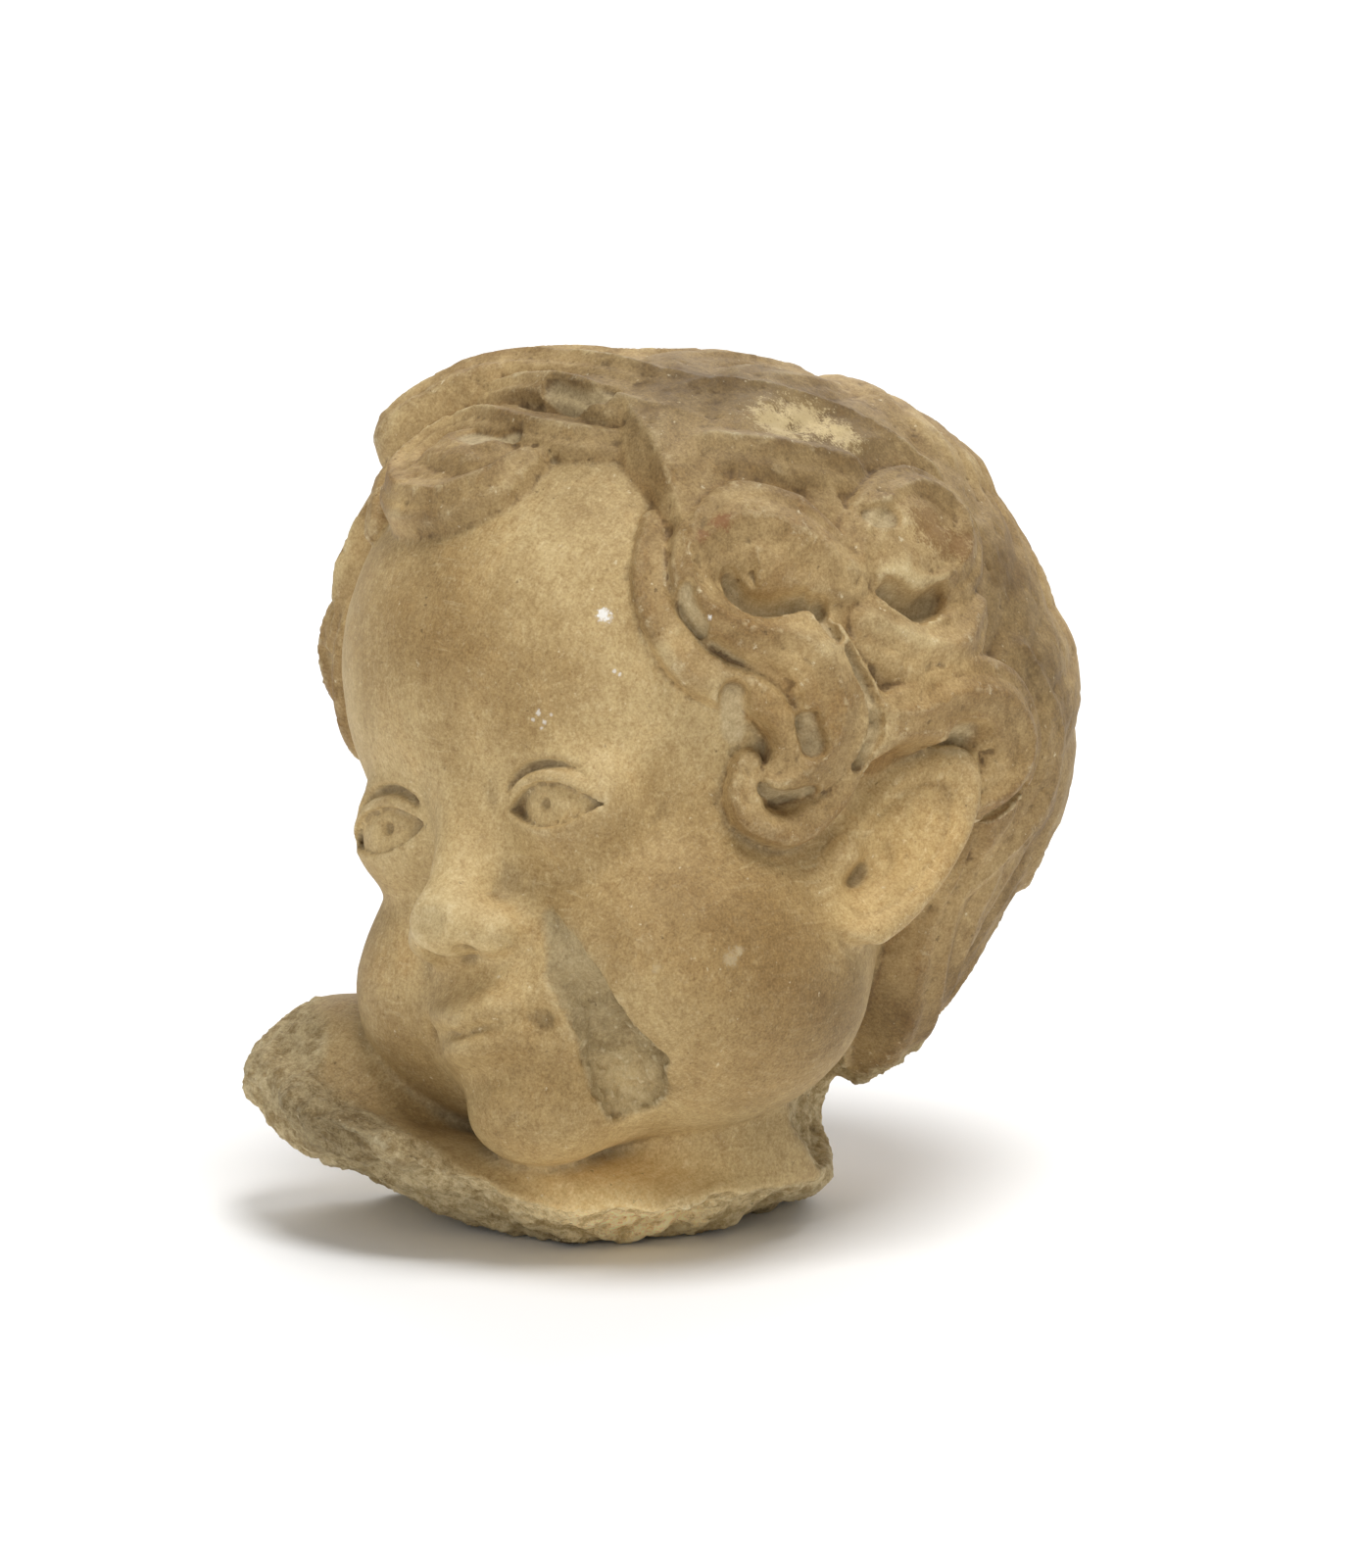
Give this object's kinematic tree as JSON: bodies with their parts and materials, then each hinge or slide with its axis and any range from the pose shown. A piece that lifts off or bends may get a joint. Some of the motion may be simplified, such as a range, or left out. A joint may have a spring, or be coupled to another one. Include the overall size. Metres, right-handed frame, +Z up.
{
  "type": "sculpted stone head",
  "caption": "Broken marble head of a curly-haired child, leaning on the stump of its neck with a rim of chest under the chin.",
  "frame": {"origin": "middle of the bounding box, at the flat patch of the broken underside it stands on", "axes": "+Z up, -Y the way the face looks, +X to the child's left"},
  "size_m": [0.1806, 0.219, 0.223],
  "materials": {
    "marble": "worn matt marble with a tan patina"
  },
  "bodies": {
    "root": {"head": "marble"}
  },
  "joints": []
}
